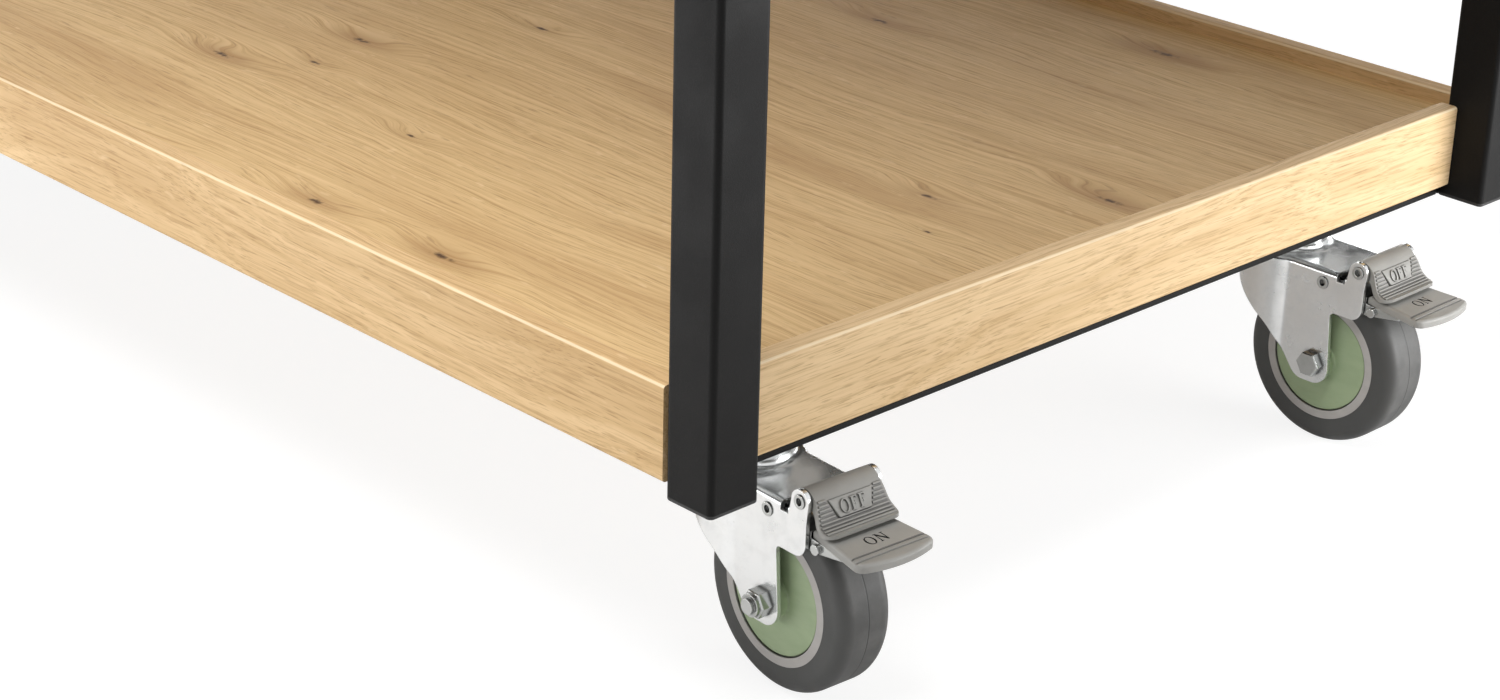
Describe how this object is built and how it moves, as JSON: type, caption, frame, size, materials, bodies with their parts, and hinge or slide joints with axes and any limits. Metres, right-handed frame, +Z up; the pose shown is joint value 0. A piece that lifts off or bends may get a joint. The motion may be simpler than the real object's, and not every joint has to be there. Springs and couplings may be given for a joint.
{
  "type": "serving cart",
  "caption": "Serving cart with two rimmed wooden trays in a black square tube frame on swivel casters with pedal brakes.",
  "frame": {"origin": "on the floor under the middle of the cart", "axes": "+X along the long side to the right end, +Y from the front side to the back side, +Z up"},
  "size_m": [1.0146, 0.63, 0.92],
  "materials": {
    "black_powder_coat": "fine textured matt",
    "black_plastic": "matt moulded",
    "oak": "clear satin lacquer",
    "zinc_sheet": "bright zinc plate",
    "zinc_hardware": "bright zinc plate",
    "green_plastic": "satin moulded",
    "pale_plastic": "satin moulded",
    "grey_plastic": "fine grained moulded",
    "grey_rubber": "matt elastic rubber"
  },
  "bodies": {
    "cart": {"front_left_post": "black_powder_coat", "front_right_post": "black_powder_coat", "back_left_post": "black_powder_coat", "back_right_post": "black_powder_coat", "lower_long_rails": "black_powder_coat", "caster_channels": "black_powder_coat", "upper_frame_rails": "black_powder_coat", "left_push_bar": "black_powder_coat", "right_push_bar": "black_powder_coat", "post_plugs": "black_plastic", "lower_deck": "oak", "lower_front_rim": "oak", "lower_back_rim": "oak", "lower_left_rim": "oak", "lower_right_rim": "oak", "upper_deck": "oak", "upper_front_rim": "oak", "upper_back_rim": "oak", "upper_left_rim": "oak", "upper_right_rim": "oak", "tray_screws": "zinc_hardware", "caster_bolts": "zinc_hardware", "swivel_bearings": "zinc_hardware", "caster_top_plates": "zinc_sheet"},
    "front_right_caster": {"front_right_fork": "zinc_sheet", "front_right_axle_set": "zinc_hardware", "front_right_brake_pins": "zinc_hardware", "front_right_thread_guards": "green_plastic"},
    "front_right_wheel": {"front_right_tyre": "grey_rubber", "front_right_wheel_core": "pale_plastic"},
    "front_right_brake": {"front_right_brake_pedal": "grey_plastic", "front_right_brake_shoe": "zinc_sheet"},
    "front_right_release": {"front_right_release_lever": "grey_plastic"},
    "back_right_caster": {"back_right_fork": "zinc_sheet", "back_right_axle_set": "zinc_hardware", "back_right_brake_pins": "zinc_hardware", "back_right_thread_guards": "green_plastic"},
    "back_right_wheel": {"back_right_tyre": "grey_rubber", "back_right_wheel_core": "pale_plastic"},
    "back_right_brake": {"back_right_brake_pedal": "grey_plastic", "back_right_brake_shoe": "zinc_sheet"},
    "back_right_release": {"back_right_release_lever": "grey_plastic"},
    "front_left_caster": {"front_left_fork": "zinc_sheet", "front_left_axle_set": "zinc_hardware", "front_left_brake_pins": "zinc_hardware", "front_left_thread_guards": "green_plastic"},
    "front_left_wheel": {"front_left_tyre": "grey_rubber", "front_left_wheel_core": "pale_plastic"},
    "front_left_brake": {"front_left_brake_pedal": "grey_plastic", "front_left_brake_shoe": "zinc_sheet"},
    "front_left_release": {"front_left_release_lever": "grey_plastic"},
    "back_left_caster": {"back_left_fork": "zinc_sheet", "back_left_axle_set": "zinc_hardware", "back_left_brake_pins": "zinc_hardware", "back_left_thread_guards": "green_plastic"},
    "back_left_wheel": {"back_left_tyre": "grey_rubber", "back_left_wheel_core": "pale_plastic"},
    "back_left_brake": {"back_left_brake_pedal": "grey_plastic", "back_left_brake_shoe": "zinc_sheet"},
    "back_left_release": {"back_left_release_lever": "grey_plastic"}
  },
  "joints": [
    {"name": "front_right_swivel", "type": "hinge", "parent": "cart", "child": "front_right_caster", "pos_m": [0.398, -0.215, 0.132], "axis": [0, 0, 1], "continuous": true},
    {"name": "front_right_spin", "type": "hinge", "parent": "front_right_caster", "child": "front_right_wheel", "pos_m": [0.43591, -0.21765, 0.05], "axis": [0.0698, 0.9976, 0], "continuous": true},
    {"name": "front_right_brake_press", "type": "hinge", "parent": "front_right_caster", "child": "front_right_brake", "pos_m": [0.4374, -0.21776, 0.0995], "axis": [0.0698, 0.9976, 0], "range_deg": [0, 6.3]},
    {"name": "front_right_release_tilt", "type": "hinge", "parent": "front_right_caster", "child": "front_right_release", "pos_m": [0.45985, -0.21932, 0.112], "axis": [0.0698, 0.9976, 0], "range_deg": [-9, 0]},
    {"name": "back_right_swivel", "type": "hinge", "parent": "cart", "child": "back_right_caster", "pos_m": [0.398, 0.215, 0.132], "axis": [0, 0, 1], "continuous": true},
    {"name": "back_right_spin", "type": "hinge", "parent": "back_right_caster", "child": "back_right_wheel", "pos_m": [0.436, 0.215, 0.05], "axis": [0, 1, 0], "continuous": true},
    {"name": "back_right_brake_press", "type": "hinge", "parent": "back_right_caster", "child": "back_right_brake", "pos_m": [0.4375, 0.215, 0.0995], "axis": [0, 1, 0], "range_deg": [0, 6.3]},
    {"name": "back_right_release_tilt", "type": "hinge", "parent": "back_right_caster", "child": "back_right_release", "pos_m": [0.46, 0.215, 0.112], "axis": [0, 1, 0], "range_deg": [-9, 0]},
    {"name": "front_left_swivel", "type": "hinge", "parent": "cart", "child": "front_left_caster", "pos_m": [-0.398, -0.215, 0.132], "axis": [0, 0, 1], "continuous": true},
    {"name": "front_left_spin", "type": "hinge", "parent": "front_left_caster", "child": "front_left_wheel", "pos_m": [-0.436, -0.215, 0.05], "axis": [0, -1, 0], "continuous": true},
    {"name": "front_left_brake_press", "type": "hinge", "parent": "front_left_caster", "child": "front_left_brake", "pos_m": [-0.4375, -0.215, 0.0995], "axis": [0, -1, 0], "range_deg": [0, 6.3]},
    {"name": "front_left_release_tilt", "type": "hinge", "parent": "front_left_caster", "child": "front_left_release", "pos_m": [-0.46, -0.215, 0.112], "axis": [0, -1, 0], "range_deg": [-9, 0]},
    {"name": "back_left_swivel", "type": "hinge", "parent": "cart", "child": "back_left_caster", "pos_m": [-0.398, 0.215, 0.132], "axis": [0, 0, 1], "continuous": true},
    {"name": "back_left_spin", "type": "hinge", "parent": "back_left_caster", "child": "back_left_wheel", "pos_m": [-0.43591, 0.21765, 0.05], "axis": [-0.0698, -0.9976, 0], "continuous": true},
    {"name": "back_left_brake_press", "type": "hinge", "parent": "back_left_caster", "child": "back_left_brake", "pos_m": [-0.4374, 0.21776, 0.0995], "axis": [-0.0698, -0.9976, 0], "range_deg": [0, 6.3]},
    {"name": "back_left_release_tilt", "type": "hinge", "parent": "back_left_caster", "child": "back_left_release", "pos_m": [-0.45985, 0.21932, 0.112], "axis": [-0.0698, -0.9976, 0], "range_deg": [-9, 0]}
  ],
  "couplings": [
    {"joint": "front_right_release_tilt", "follows": "front_right_brake_press", "ratio": -1.4},
    {"joint": "back_right_release_tilt", "follows": "back_right_brake_press", "ratio": -1.4},
    {"joint": "front_left_release_tilt", "follows": "front_left_brake_press", "ratio": -1.4},
    {"joint": "back_left_release_tilt", "follows": "back_left_brake_press", "ratio": -1.4}
  ]
}
